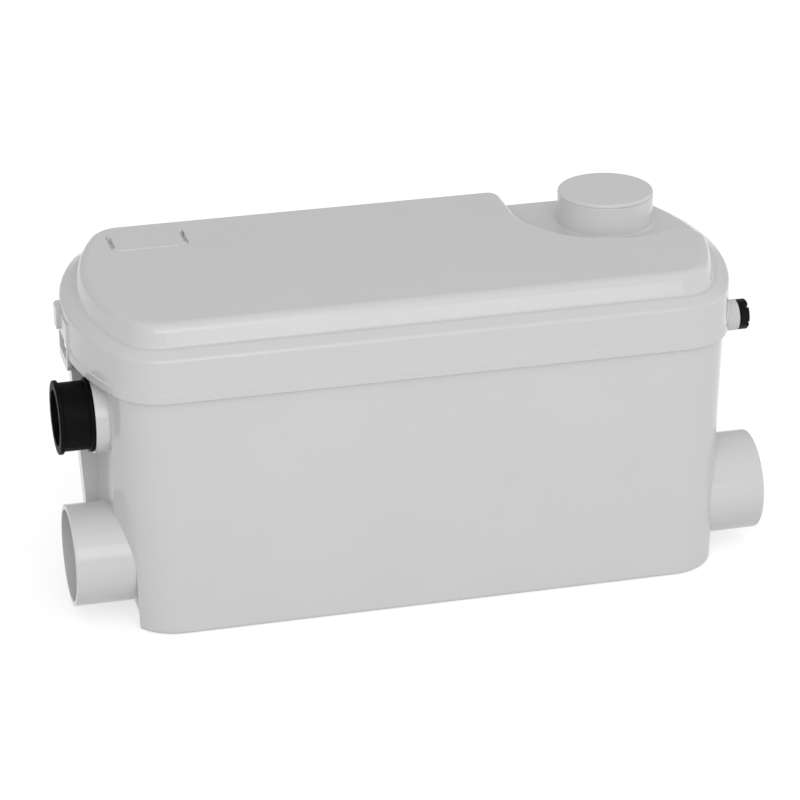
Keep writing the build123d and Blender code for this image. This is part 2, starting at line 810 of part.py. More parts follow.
with BuildPart() as discharge_sleeve:
    rod(-discharge_y, discharge_z, sleeve_root_radius, -collar_face, -sleeve_root_end)
    rod(-discharge_y, discharge_z, sleeve_body_radius, -sleeve_face, -collar_face)
    rod(-discharge_y, discharge_z, sleeve_flange_radius, -sleeve_face, -sleeve_face + sleeve_flange_width)
    rod(-discharge_y, discharge_z, sleeve_flange_radius, -collar_face - sleeve_flange_width, -collar_face)
    rod(-discharge_y, discharge_z, sleeve_bore_radius, -sleeve_face - overrun, -sleeve_root_end + overrun,
        Mode.SUBTRACT)
    fillet(discharge_sleeve.edges().filter_by(GeomType.CIRCLE).group_by(SortBy.RADIUS)[-1], sleeve_rounding)
save(discharge_sleeve, "discharge_sleeve")

check_pin_x = valve_seat_x + check_pin_drop
check_pin_z = discharge_z + check_pin_rise
check_face = valve_seat_x + slip_gap
check_ear_start = check_knuckle_width / 2 + slip_gap
check_ear_end = check_ear_start + check_ear_thickness
check_pin_half = sqrt(chamber_radius ** 2 - check_pin_rise ** 2) - running_gap

with BuildPart() as valve_body:
    rod(-discharge_y, discharge_z, collar_radius, -collar_face, -valve_shoulder_x)
    rod(-discharge_y, discharge_z, valve_socket_radius, -valve_shoulder_x, -valve_inner_end)
    rod(-discharge_y, discharge_z, chamber_radius, -collar_face - overrun, -valve_seat_x, Mode.SUBTRACT)
    for ear_side in (-1, 1):
        ear = sorted((-discharge_y + ear_side * check_ear_start, -discharge_y + ear_side * check_ear_end))
        block((-check_pin_x - check_knuckle_radius, ear[0], check_pin_z - check_knuckle_radius),
              (-valve_seat_x, ear[1], check_pin_z + check_knuckle_radius))
    rod(-discharge_y, discharge_z, pipe_bore_radius, -valve_seat_x - overrun, -valve_inner_end, Mode.SUBTRACT)
    rod(-discharge_y, discharge_z, pipe_outer_radius, -valve_socket_stop, -valve_inner_end + overrun,
        Mode.SUBTRACT)
    cross_rod(-check_pin_x, check_pin_z, check_pin_radius, -discharge_y - check_pin_half,
              -discharge_y + check_pin_half, Mode.SUBTRACT)
save(valve_body, "discharge_valve_body")

with BuildPart() as check_flap:
    rod(-discharge_y, discharge_z, check_flap_radius, -check_face - check_flap_thickness, -check_face)
    block((-check_face - check_flap_thickness, -discharge_y - check_knuckle_width / 2, discharge_z),
          (-check_face, -discharge_y + check_knuckle_width / 2, check_pin_z))
    cross_rod(-check_pin_x, check_pin_z, check_knuckle_radius,
              -discharge_y - check_knuckle_width / 2, -discharge_y + check_knuckle_width / 2)
    cross_rod(-check_pin_x, check_pin_z, check_pin_radius + running_gap,
              -discharge_y - check_knuckle_width / 2 - overrun,
              -discharge_y + check_knuckle_width / 2 + overrun, Mode.SUBTRACT)
save(check_flap, "discharge_flap")

with BuildPart() as check_pin:
    cross_rod(-check_pin_x, check_pin_z, check_pin_radius, -discharge_y - check_pin_half,
              -discharge_y + check_pin_half)
save(check_pin, "discharge_flap_pin")

# Internal discharge pipe and the rubber coupling at the pump

pipe_start = -pump_joint_x - joint_gap
with BuildPart() as discharge_pipe:
    with BuildLine(Plane.XZ.offset(discharge_y)) as pipe_path:
        FilletPolyline(
            (pipe_start, pump_outlet_z),
            (-riser_x, pump_outlet_z),
            (-riser_x, discharge_z),
            (-valve_socket_stop, discharge_z),
            radius=riser_bend,
        )
    with BuildSketch(Plane.YZ.offset(pipe_start)):
        with Locations((-discharge_y, pump_outlet_z)):
            Circle(pipe_outer_radius)
            Circle(pipe_bore_radius, mode=Mode.SUBTRACT)
    sweep(path=pipe_path.line)
save(discharge_pipe, "discharge_pipe")

with BuildPart() as pump_coupling:
    coupling_middle = -pump_joint_x - joint_gap / 2
    rod(-discharge_y, pump_outlet_z, coupling_radius, coupling_middle - coupling_length / 2,
        coupling_middle + coupling_length / 2)
    rod(-discharge_y, pump_outlet_z, pipe_outer_radius, coupling_middle - coupling_length,
        coupling_middle + coupling_length, Mode.SUBTRACT)
save(pump_coupling, "pump_coupling")

# Cable gland: clamping nut and rubber bush

with BuildPart() as gland_nut:
    nut_start = gland_boss_face
    nut_end = nut_start + gland_nut_length
    rod(-gland_y, gland_z, gland_nut_radius, nut_start, nut_end)
    fillet(edges_across(gland_nut, nut_end), gland_nut_rounding)
    with BuildSketch(Plane.YZ.offset(nut_end - gland_notch_depth)):
        with Locations((-gland_y, gland_z)):
            with PolarLocations(gland_nut_radius, gland_notches, gland_notch_turn):
                Rectangle(gland_nut_radius, gland_notch_width)
    extrude(amount=gland_notch_depth + overrun, mode=Mode.SUBTRACT)
    rod(-gland_y, gland_z, gland_shank_radius, nut_start - gland_shank_length, nut_end - gland_notch_depth)
    rod(-gland_y, gland_z, gland_nut_bore, nut_start - gland_shank_length - overrun, nut_end + overrun,
        Mode.SUBTRACT)
save(gland_nut, "gland_nut")

with BuildPart() as gland_bush:
    bush_end = gland_boss_face - gland_shank_length
    rod(-gland_y, gland_z, gland_bore_radius, bush_end - gland_bush_length, bush_end)
    rod(-gland_y, gland_z, gland_bush_bore, bush_end - gland_bush_length - overrun, bush_end + overrun,
        Mode.SUBTRACT)
save(gland_bush, "gland_bush")

# Deck plate and its screws

port_grommet_radius = inlet_mouth_radius + grommet_flange_height
vent_grommet_radius = vent_tube_radius + grommet_flange_height

with BuildPart() as deck_plate:
    with BuildSketch(Plane.XY.offset(deck_bottom)):
        add(lid_outline(rim_inset + tank_wall + slip_gap))
        with Locations((0, 0)):
            Circle(motor_radius + motor_hole_gap, mode=Mode.SUBTRACT)
        with Locations((port_x, port_y)):
            Circle(port_grommet_radius, mode=Mode.SUBTRACT)
        with Locations((-hatch_x, hatch_y)):
            Circle(vent_grommet_radius, mode=Mode.SUBTRACT)
        with Locations((switch_x, -switch_y)):
            Circle(bell_radius + slip_gap, mode=Mode.SUBTRACT)
        with Locations((grommet_x, -grommet_y)):
            Circle(grommet_hole_radius, mode=Mode.SUBTRACT)
        with Locations(*deck_screw_places):
            Circle(deck_screw_radius, mode=Mode.SUBTRACT)
        with Locations(*around(motor_mount_circle, 45)):
            Circle(motor_mount_screw, mode=Mode.SUBTRACT)
    extrude(amount=deck_thickness)
save(deck_plate, "deck_plate")

with BuildPart() as deck_screws:
    for place in deck_screw_places:
        post(place, deck_screw_radius, deck_bottom - deck_screw_length, deck_top)
        post(place, deck_screw_head_radius, deck_top, deck_top + deck_screw_head_height)
save(deck_screws, "deck_screws")


def grommet(centre, bore, hole, flange, name):
    """A rubber ring in a hole of the deck, with a flange on top."""
    with BuildPart() as ring:
        post(centre, hole, deck_bottom, deck_top)
        post(centre, flange, deck_top, deck_top + grommet_flange_height)
        post(centre, bore, deck_bottom - overrun, deck_top + grommet_flange_height + overrun, Mode.SUBTRACT)
    save(ring, name)


grommet((port_x, port_y), inlet_mouth_radius + seal_gap, port_grommet_radius,
        port_grommet_radius + grommet_flange_height, "port_grommet")
grommet((-hatch_x, hatch_y), vent_tube_radius + seal_gap, vent_grommet_radius,
        vent_grommet_radius + grommet_flange_height, "vent_grommet")
grommet((grommet_x, -grommet_y), grommet_bore, grommet_hole_radius, grommet_flange_radius, "cable_grommet")

# Motor housing with its flange, base and lower bearing hub

motor_inner_radius = motor_radius - motor_wall
hub_radius = bearing_radius + bearing_hub_wall
base_top = motor_bottom + motor_base_thickness
lower_bearing_bottom = base_top + slip_gap
lower_bearing_top = lower_bearing_bottom + bearing_width
shaft_hole_radius = shaft_radius + slip_gap
dome_top = flange_top + cap_flange_thickness + motor_dome_height
upper_bearing_top = flange_top
upper_bearing_bottom = upper_bearing_top - bearing_width
shaft_top = upper_bearing_top + shaft_top_gap

with BuildPart() as motor_housing:
    post((0, 0), motor_radius, motor_bottom, flange_top)
    post((0, 0), motor_flange_radius, flange_bottom, flange_top)
    post((0, 0), motor_inner_radius, base_top, flange_top + overrun, Mode.SUBTRACT)
    post((0, 0), hub_radius, base_top, lower_bearing_top)
    for place in around(pump_screw_circle, 0):
        post(place, pump_ear_radius, motor_bottom, motor_bottom + pump_ear_height)
    post((0, 0), bearing_radius, lower_bearing_bottom, lower_bearing_top + overrun, Mode.SUBTRACT)
    post((0, 0), shaft_hole_radius, motor_bottom - overrun, lower_bearing_top, Mode.SUBTRACT)
    for place in around(pump_screw_circle, 0):
        post(place, pump_screw_radius, motor_bottom - overrun, cover_bottom + pump_screw_length, Mode.SUBTRACT)
    for place in around(motor_mount_circle, 45):
        post(place, motor_mount_screw, flange_bottom - overrun, flange_top + overrun, Mode.SUBTRACT)
    for place in around(motor_screw_circle, 0):
        post(place, motor_screw_radius, flange_bottom - overrun, flange_top + overrun, Mode.SUBTRACT)
save(motor_housing, "motor_housing")

with BuildPart() as motor_end_cap:
    post((0, 0), motor_radius, flange_top, dome_top)
    fillet(motor_end_cap.edges().group_by(Axis.Z)[-1], motor_dome_rounding)
    for place in around(motor_screw_circle, 0):
        post(place, motor_ear_radius, flange_top, flange_top + cap_flange_thickness)
    post((0, 0), motor_inner_radius, flange_top - overrun, dome_top - motor_wall, Mode.SUBTRACT)
    post((0, 0), hub_radius, upper_bearing_bottom, dome_top - motor_wall / 2)
    post((0, 0), bearing_radius, upper_bearing_bottom - overrun, upper_bearing_top, Mode.SUBTRACT)
    post((0, 0), shaft_hole_radius, upper_bearing_bottom, shaft_top + slip_gap, Mode.SUBTRACT)
    for place in around(motor_screw_circle, 0):
        post(place, motor_screw_radius, flange_top - overrun, flange_top + cap_flange_thickness + overrun,
             Mode.SUBTRACT)
save(motor_end_cap, "motor_end_cap")

with BuildPart() as motor_screws:
    for place in around(motor_screw_circle, 0):
        head_bottom = flange_top + cap_flange_thickness
        post(place, motor_screw_radius, flange_bottom, head_bottom)
        post(place, motor_screw_head, head_bottom, head_bottom + motor_screw_head_height)
save(motor_screws, "motor_screws")

# Rubber mounts between the deck and the motor, and their screws

with BuildPart() as motor_mounts:
    for place in around(motor_mount_circle, 45):
        post(place, motor_mount_radius, deck_top, flange_bottom)
        post(place, motor_mount_screw, deck_top - overrun, flange_bottom + overrun, Mode.SUBTRACT)
save(motor_mounts, "motor_mounts")

with BuildPart() as mount_screws:
    for place in around(motor_mount_circle, 45):
        post(place, motor_mount_screw, deck_bottom, flange_top)
        post(place, motor_mount_screw_head, flange_top, flange_top + motor_mount_screw_head_height)
save(mount_screws, "motor_mount_screws")

# Stator core and windings

stator_top = stator_bottom + stator_height
with BuildPart() as stator_core:
    post((0, 0), motor_inner_radius, stator_bottom, stator_top)
    post((0, 0), stator_bore_radius, stator_bottom - overrun, stator_top + overrun, Mode.SUBTRACT)
save(stator_core, "stator_core")

with BuildPart() as windings:
    for low, high in ((stator_bottom - winding_height, stator_bottom), (stator_top, stator_top + winding_height)):
        post((0, 0), winding_outer_radius, low, high)
        post((0, 0), winding_inner_radius, low - overrun, high + overrun, Mode.SUBTRACT)
    fillet(windings.edges().group_by(Axis.Z)[0], winding_height / 4)
    fillet(windings.edges().group_by(Axis.Z)[-1], winding_height / 4)
save(windings, "stator_windings")

# Bearings and shaft seal

def bearing(bottom, name):
    """A sealed ball bearing, its races set a little above its shields."""
    with BuildPart() as ring:
        post((0, 0), bearing_radius, bottom, bottom + bearing_width)
        with BuildSketch(Plane.XY.offset(bottom + bearing_width)) as shield:
            Circle(bearing_radius - bearing_race)
            Circle(shaft_radius + bearing_race, mode=Mode.SUBTRACT)
        extrude(amount=-slip_gap, mode=Mode.SUBTRACT)
        post((0, 0), shaft_radius + running_gap, bottom - overrun, bottom + bearing_width + overrun, Mode.SUBTRACT)
    save(ring, name)


bearing(lower_bearing_bottom, "lower_bearing")
bearing(upper_bearing_bottom, "upper_bearing")

with BuildPart() as shaft_seal:
    post((0, 0), seal_radius, chamber_top, chamber_top + seal_height)
    post((0, 0), seal_radius - seal_lip, chamber_top + seal_height / 2, chamber_top + seal_height + overrun,
         Mode.SUBTRACT)
    post((0, 0), shaft_radius + running_gap, chamber_top - overrun, chamber_top + seal_height + overrun,
         Mode.SUBTRACT)
save(shaft_seal, "shaft_seal")

# Rotor: core, shaft, impeller, cutter and the nut that clamps them

with BuildPart() as rotor_core:
    post((0, 0), rotor_radius, stator_bottom, stator_top)
    post((0, 0), shaft_radius, stator_bottom - overrun, stator_top + overrun, Mode.SUBTRACT)
save(rotor_core, "rotor_core")

cutter_top = cover_bottom - cutter_gap
cutter_bottom = cutter_top - cutter_thickness
nut_bottom = cutter_bottom - shaft_nut_height

with BuildPart() as motor_shaft:
    post((0, 0), shaft_radius, shaft_bottom, shaft_top)
    chamfer(motor_shaft.edges().group_by(Axis.Z)[-1], shaft_radius / 10)
save(motor_shaft, "motor_shaft")

vane_bottom = cover_top + impeller_lift
vane_top = vane_bottom + impeller_vane_height
disc_top = vane_top + impeller_disc

with BuildPart() as impeller:
    post((0, 0), impeller_radius, vane_top, disc_top)
    post((0, 0), impeller_hub_radius, vane_bottom, disc_top)
    vane_radius = impeller_vane_bend
    vane_chord = impeller_radius - impeller_vane_thickness - impeller_hub_radius / 2
    vane_half_turn = degrees(asin(vane_chord / (2 * vane_radius)))
    with BuildSketch(Plane.XY.offset(vane_bottom)):
        with PolarLocations(0, impeller_vanes):
            with Locations((impeller_hub_radius / 2 + vane_chord / 2,
                            -vane_radius * cos(radians(vane_half_turn)))):
                SlotArc(CenterArc((0, 0), vane_radius, 90 - vane_half_turn, 2 * vane_half_turn),
                        impeller_vane_thickness)
    extrude(amount=impeller_vane_height)
    post((0, 0), shaft_radius, vane_bottom - overrun, disc_top + overrun, Mode.SUBTRACT)
save(impeller, "impeller")

with BuildPart() as cutter:
    with BuildSketch(Plane.XY.offset(cutter_bottom)):
        Rectangle(2 * cutter_reach, cutter_width)
        Circle(cutter_width)
    extrude(amount=cutter_thickness)
    tips = cutter.edges().filter_by(Axis.Y).group_by(Axis.Z)[-1]
    chamfer(tips, cutter_thickness / 2)
    post((0, 0), shaft_radius, cutter_bottom - overrun, cutter_top + overrun, Mode.SUBTRACT)
save(cutter, "cutter_blade")

with BuildPart() as shaft_nut:
    with BuildSketch(Plane.XY.offset(nut_bottom)):
        RegularPolygon(shaft_nut_flats / 2, 6, major_radius=False)
        Circle(shaft_radius, mode=Mode.SUBTRACT)
    extrude(amount=shaft_nut_height)
save(shaft_nut, "shaft_nut")

# Spacer that holds the cutter off the impeller

with BuildPart() as cutter_spacer:
    post((0, 0), impeller_hub_radius, cutter_top, vane_bottom)
    post((0, 0), shaft_radius, cutter_top - overrun, vane_bottom + overrun, Mode.SUBTRACT)
save(cutter_spacer, "cutter_spacer")

# Pump casing, suction cover, their screws and the strainer

pump_ears = around(pump_screw_circle, 0)
with BuildPart() as pump_casing:
    post((0, 0), volute_radius, cover_top, motor_bottom)
    for place in pump_ears:
        post(place, pump_ear_radius, cover_top, motor_bottom)
    rod(-discharge_y, pump_outlet_z, pipe_outer_radius, -pump_joint_x, 0)
    post((0, 0), volute_chamber_radius, cover_top - overrun, chamber_top, Mode.SUBTRACT)
    rod(-discharge_y, pump_outlet_z, pipe_bore_radius, -pump_joint_x - overrun, 0, Mode.SUBTRACT)
    post((0, 0), seal_radius, chamber_top - overrun, chamber_top + seal_height, Mode.SUBTRACT)
    post((0, 0), shaft_hole_radius, chamber_top, motor_bottom + overrun, Mode.SUBTRACT)
    for place in pump_ears:
        post(place, pump_screw_radius, cover_top - overrun, motor_bottom + overrun, Mode.SUBTRACT)
save(pump_casing, "pump_casing")

with BuildPart() as pump_cover:
    post((0, 0), volute_radius, cover_bottom, cover_top)
    for place in pump_ears:
        post(place, pump_ear_radius, cover_bottom, cover_top)
    post((0, 0), cover_eye_radius, cover_bottom - overrun, cover_top + overrun, Mode.SUBTRACT)
    for place in pump_ears:
        post(place, pump_screw_radius, cover_bottom - overrun, cover_top + overrun, Mode.SUBTRACT)
save(pump_cover, "pump_cover")

with BuildPart() as pump_screws:
    for place in pump_ears:
        post(place, pump_screw_radius, cover_bottom, cover_bottom + pump_screw_length)
        post(place, pump_screw_head, cover_bottom - pump_screw_head_height, cover_bottom)
save(pump_screws, "pump_screws")

with BuildPart() as strainer:
    strainer_bottom = cover_bottom - strainer_height
    post((0, 0), strainer_radius, strainer_bottom, cover_bottom)
    post((0, 0), strainer_radius - strainer_wall, strainer_bottom - overrun, cover_bottom + overrun,
         Mode.SUBTRACT)
    slot_height = strainer_height - 2 * strainer_slot_margin
    with PolarLocations(strainer_radius - strainer_wall / 2, strainer_slots):
        with Locations((0, 0, strainer_bottom + strainer_slot_margin + slot_height / 2)):
            Box(2 * strainer_wall + overrun, strainer_slot_width, slot_height, mode=Mode.SUBTRACT)
save(strainer, "strainer")

# Pressure switch: bell, membrane, cover, plunger, spring and microswitch

switch_centre = (switch_x, -switch_y)
cup_top = deck_top + bell_cup_height
membrane_top = cup_top + membrane_thickness
cover_roof = membrane_top + switch_cover_height
plunger_disc_top = membrane_top + plunger_disc_thickness

with BuildPart() as pressure_bell:
    post(switch_centre, bell_radius, bell_bottom, deck_top)
    post(switch_centre, bell_cup_radius, deck_top, cup_top)
    post(switch_centre, bell_radius - bell_wall, bell_bottom - overrun, deck_top + overrun, Mode.SUBTRACT)
    post(switch_centre, bell_cup_radius - bell_wall, deck_top + bell_wall, cup_top + overrun, Mode.SUBTRACT)
save(pressure_bell, "pressure_bell")

with BuildPart() as membrane:
    post(switch_centre, bell_cup_radius, cup_top, membrane_top)
save(membrane, "membrane")

with BuildPart() as switch_cover:
    post(switch_centre, bell_cup_radius, membrane_top, cover_roof)
    post(switch_centre, bell_cup_radius - bell_wall, membrane_top - overrun, cover_roof - switch_cover_wall,
         Mode.SUBTRACT)
    post(switch_centre, plunger_stem_radius + plunger_hole_gap, membrane_top, cover_roof + overrun,
         Mode.SUBTRACT)
save(switch_cover, "switch_cover")

with BuildPart() as switch_plunger:
    post(switch_centre, plunger_disc_radius, membrane_top, plunger_disc_top)
    post(switch_centre, plunger_stem_radius, membrane_top, plunger_disc_top + plunger_stem_length)
save(switch_plunger, "switch_plunger")

with BuildPart() as plunger_spring:
    spring_low = plunger_disc_top + spring_wire_radius
    spring_high = cover_roof - switch_cover_wall - spring_wire_radius
    with BuildLine(Plane.XY.offset(spring_low)) as spring_path:
        coil = Helix((spring_high - spring_low) / spring_turns, spring_high - spring_low, spring_radius,
                     center=(switch_x, -switch_y, 0))
    with BuildSketch(Plane(origin=coil @ 0, z_dir=coil % 0)):
        Circle(spring_wire_radius)
    sweep(path=spring_path.line, is_frenet=True)
save(plunger_spring, "plunger_spring")

with BuildPart() as microswitch:
    block((switch_x - micro_length / 2, -switch_y - micro_width / 2, cover_roof),
          (switch_x + micro_length / 2, -switch_y + micro_width / 2, cover_roof + micro_height))
    post(switch_centre, micro_socket_radius, cover_roof - overrun, cover_roof + micro_socket_depth,
         Mode.SUBTRACT)
save(microswitch, "microswitch")

# Capacitor with its clip, and the terminal block with its screws

capacitor_axis = deck_top + slip_gap + capacitor_radius
with BuildPart() as capacitor:
    rod(-capacitor_y, capacitor_axis, capacitor_radius, -capacitor_x - capacitor_length / 2,
        -capacitor_x + capacitor_length / 2)
    fillet(capacitor.edges().filter_by(GeomType.CIRCLE), capacitor_rounding)
save(capacitor, "capacitor")

with BuildPart() as capacitor_clip:
    clip_low = -capacitor_x - clip_width / 2
    clip_high = -capacitor_x + clip_width / 2
    rod(-capacitor_y, capacitor_axis, capacitor_radius + clip_thickness, clip_low, clip_high)
    block((clip_low, -capacitor_y - capacitor_radius - clip_thickness, deck_top),
          (clip_high, -capacitor_y + capacitor_radius + clip_thickness, capacitor_axis))
    block((clip_low, -capacitor_y - capacitor_radius - clip_foot, deck_top),
          (clip_high, -capacitor_y + capacitor_radius + clip_foot, deck_top + clip_thickness))
    rod(-capacitor_y, capacitor_axis, capacitor_radius, clip_low - overrun, clip_high + overrun, Mode.SUBTRACT)
    block((clip_low - overrun, -capacitor_y - capacitor_radius, deck_top - clip_foot),
          (clip_high + overrun, -capacitor_y + capacitor_radius, capacitor_axis), Mode.SUBTRACT)
    block((clip_low - overrun, -capacitor_y - capacitor_radius - clip_foot, deck_top - clip_foot),
          (clip_high + overrun, -capacitor_y + capacitor_radius + clip_foot, deck_top), Mode.SUBTRACT)
save(capacitor_clip, "capacitor_clip")

terminal_top = deck_top + terminal_height
terminal_pitch = terminal_length / terminal_count
terminal_places = [
    (terminal_x + (k - (terminal_count - 1) / 2) * terminal_pitch, -terminal_y) for k in range(terminal_count)
]
with BuildPart() as terminal_block:
    block((terminal_x - terminal_length / 2, -terminal_y - terminal_width / 2, deck_top),
          (terminal_x + terminal_length / 2, -terminal_y + terminal_width / 2, terminal_top))
    for place in terminal_places:
        post(place, terminal_screw_radius, terminal_top - terminal_screw_depth, terminal_top + overrun,
             Mode.SUBTRACT)
save(terminal_block, "terminal_block")

with BuildPart() as terminal_screws:
    for place in terminal_places:
        post(place, terminal_screw_radius, terminal_top - terminal_screw_depth,
             terminal_top - terminal_screw_depth / 2)
save(terminal_screws, "terminal_screws")
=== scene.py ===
import bpy
from math import cos, radians, sin
from mathutils import Matrix, Vector


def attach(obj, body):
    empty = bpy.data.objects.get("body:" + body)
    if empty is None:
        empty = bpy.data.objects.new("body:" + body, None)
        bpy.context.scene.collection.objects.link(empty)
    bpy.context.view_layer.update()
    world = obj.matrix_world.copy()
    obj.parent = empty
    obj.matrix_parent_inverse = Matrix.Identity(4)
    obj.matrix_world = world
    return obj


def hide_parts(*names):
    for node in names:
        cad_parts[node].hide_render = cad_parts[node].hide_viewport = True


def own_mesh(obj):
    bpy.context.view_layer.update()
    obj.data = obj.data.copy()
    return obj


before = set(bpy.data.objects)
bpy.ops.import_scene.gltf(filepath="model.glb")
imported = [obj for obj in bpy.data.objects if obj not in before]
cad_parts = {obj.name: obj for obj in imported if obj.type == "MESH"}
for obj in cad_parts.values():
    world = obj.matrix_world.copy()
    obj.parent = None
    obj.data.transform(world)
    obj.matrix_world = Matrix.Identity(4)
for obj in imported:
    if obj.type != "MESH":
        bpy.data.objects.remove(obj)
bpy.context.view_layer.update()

MM = 0.001

# Looks shared by the materials: the range that noise mostly fills, the size of smudges and the depth of the
# slow waviness as shares of the patches and of the grain, and the detail of each noise
NOISE_LOW = 0.35
NOISE_HIGH = 0.65
SMUDGE_SHARE = 0.4
SLOW_SHARE = 2.0
PATCH_DETAIL = 4.0
SMUDGE_DETAIL = 6.0
SMUDGE_ROUGHNESS = 0.6
GRAIN_DETAIL = 3.0
GRAIN_ROUGHNESS = 0.55


# Node helpers

def new_material(name):
    """A material with an empty tree and its output."""
    material = bpy.data.materials.new(name)
    material.use_nodes = True
    tree = material.node_tree
    tree.nodes.clear()
    output = tree.nodes.new("ShaderNodeOutputMaterial")
    return material, tree, output


def link(tree, source, target):
    tree.links.new(source, target)


def noise(tree, coords, size, detail, roughness=0.5):
    """Noise whose features have the given size in metres."""
    node = tree.nodes.new("ShaderNodeTexNoise")
    node.inputs["Scale"].default_value = 1.0 / size
    node.inputs["Detail"].default_value = detail
    node.inputs["Roughness"].default_value = roughness
    link(tree, coords, node.inputs["Vector"])
    return node.outputs["Fac"]


def ranged(tree, value, low, high):
    """A noise value brought into the range from low to high."""
    node = tree.nodes.new("ShaderNodeMapRange")
    node.inputs["From Min"].default_value = NOISE_LOW
    node.inputs["From Max"].default_value = NOISE_HIGH
    node.inputs["To Min"].default_value = low
    node.inputs["To Max"].default_value = high
    link(tree, value, node.inputs["Value"])
    return node.outputs["Result"]


def mixed(tree, factor, first, second):
    """A colour between two colours."""
    node = tree.nodes.new("ShaderNodeMix")
    node.data_type = "RGBA"
    node.inputs["A"].default_value = (*first, 1.0)
    node.inputs["B"].default_value = (*second, 1.0)
    link(tree, factor, node.inputs["Factor"])
    return node.outputs["Result"]


def bumped(tree, height, distance, below=None):
    """A normal from a height field, over another normal where one is given."""
    node = tree.nodes.new("ShaderNodeBump")
    node.inputs["Distance"].default_value = distance
    node.inputs["Strength"].default_value = 1.0
    link(tree, height, node.inputs["Height"])
    if below is not None:
        link(tree, below, node.inputs["Normal"])
    return node.outputs["Normal"]


def surface(name, light, dark, roughness, grain, relief, patches, metallic=0.0, specular=0.5):
    """A surface with patchy colour and gloss, a fine grain and a slow waviness."""
    material, tree, output = new_material(name)
    shader = tree.nodes.new("ShaderNodeBsdfPrincipled")
    shader.inputs["Metallic"].default_value = metallic
    shader.inputs["Specular IOR Level"].default_value = specular
    coords = tree.nodes.new("ShaderNodeTexCoord").outputs["Object"]
    patch = noise(tree, coords, patches, PATCH_DETAIL)
    link(tree, mixed(tree, ranged(tree, patch, 0.0, 1.0), dark, light), shader.inputs["Base Color"])
    smudge = noise(tree, coords, patches * SMUDGE_SHARE, SMUDGE_DETAIL, SMUDGE_ROUGHNESS)
    link(tree, ranged(tree, smudge, roughness[0], roughness[1]), shader.inputs["Roughness"])
    slow = bumped(tree, patch, relief * SLOW_SHARE)
    fine = noise(tree, coords, grain, GRAIN_DETAIL, GRAIN_ROUGHNESS)
    link(tree, bumped(tree, fine, relief, below=slow), shader.inputs["Normal"])
    link(tree, shader.outputs["BSDF"], output.inputs["Surface"])
    return material


# Materials of the object

WHITE = surface("white_moulding", (0.720, 0.720, 0.720), (0.710, 0.710, 0.710), (0.15, 0.18),
                0.7 * MM, 0.010 * MM, patches=45 * MM)
BLACK_RUBBER = surface("black_rubber", (0.0060, 0.0060, 0.0061), (0.0040, 0.0040, 0.0041), (0.42, 0.55),
                       0.5 * MM, 0.02 * MM, patches=9 * MM, specular=0.05)
BLACK_PLASTIC = surface("black_moulding", (0.0080, 0.0080, 0.0083), (0.0055, 0.0055, 0.0058), (0.30, 0.42),
                        0.5 * MM, 0.015 * MM, patches=12 * MM, specular=0.10)
GREY_PLASTIC = surface("grey_moulding", (0.16, 0.165, 0.17), (0.13, 0.135, 0.14), (0.40, 0.52),
                       0.6 * MM, 0.015 * MM, patches=20 * MM)
PUMP_PLASTIC = surface("pump_moulding", (0.028, 0.030, 0.034), (0.018, 0.020, 0.023), (0.42, 0.58),
                       0.9 * MM, 0.03 * MM, patches=10 * MM)
STEEL = surface("steel", (0.60, 0.60, 0.61), (0.48, 0.48, 0.49), (0.22, 0.36),
                0.3 * MM, 0.01 * MM, patches=6 * MM, metallic=1.0)
CAST_METAL = surface("cast_metal", (0.52, 0.53, 0.54), (0.42, 0.43, 0.44), (0.42, 0.60),
                     1.2 * MM, 0.05 * MM, patches=14 * MM, metallic=0.9)
BRASS = surface("brass", (0.70, 0.50, 0.20), (0.55, 0.38, 0.14), (0.25, 0.38),
                0.3 * MM, 0.01 * MM, patches=4 * MM, metallic=1.0)
CARBON = surface("carbon_foam", (0.030, 0.030, 0.031), (0.010, 0.010, 0.010), (0.85, 0.98),
                 1.1 * MM, 0.5 * MM, patches=5 * MM)
CASE = surface("capacitor_case", (0.46, 0.47, 0.48), (0.40, 0.41, 0.42), (0.30, 0.40),
               0.5 * MM, 0.01 * MM, patches=12 * MM)


# Bands of stacked sheets and wound wire: their period at a scale of 1, their waviness and their smudges
BAND_PERIOD = 0.314
BAND_DISTORTION = 0.6
BAND_DETAIL = 2.0
BAND_SMUDGE = 5 * MM


def banded(name, light, dark, pitch, roughness, metallic, relief):
    """Metal in thin level bands, such as stacked sheets or wound wire."""
    material, tree, output = new_material(name)
    shader = tree.nodes.new("ShaderNodeBsdfPrincipled")
    shader.inputs["Metallic"].default_value = metallic
    coords = tree.nodes.new("ShaderNodeTexCoord").outputs["Object"]
    wave = tree.nodes.new("ShaderNodeTexWave")
    wave.bands_direction = "Z"
    wave.inputs["Scale"].default_value = BAND_PERIOD / pitch
    wave.inputs["Distortion"].default_value = BAND_DISTORTION
    wave.inputs["Detail"].default_value = BAND_DETAIL
    link(tree, coords, wave.inputs["Vector"])
    link(tree, mixed(tree, wave.outputs["Fac"], dark, light), shader.inputs["Base Color"])
    smudge = noise(tree, coords, BAND_SMUDGE, PATCH_DETAIL)
    link(tree, ranged(tree, smudge, roughness[0], roughness[1]), shader.inputs["Roughness"])
    link(tree, bumped(tree, wave.outputs["Fac"], relief), shader.inputs["Normal"])
    link(tree, shader.outputs["BSDF"], output.inputs["Surface"])
    return material


CORE = banded("laminated_steel", (0.20, 0.20, 0.215), (0.07, 0.07, 0.08), 1.0 * MM, (0.40, 0.55), 0.8,
              relief=0.05 * MM)
COPPER = banded("lacquered_wire", (0.50, 0.19, 0.07), (0.22, 0.06, 0.02), 1.3 * MM, (0.25, 0.40), 0.7,
                relief=0.3 * MM)

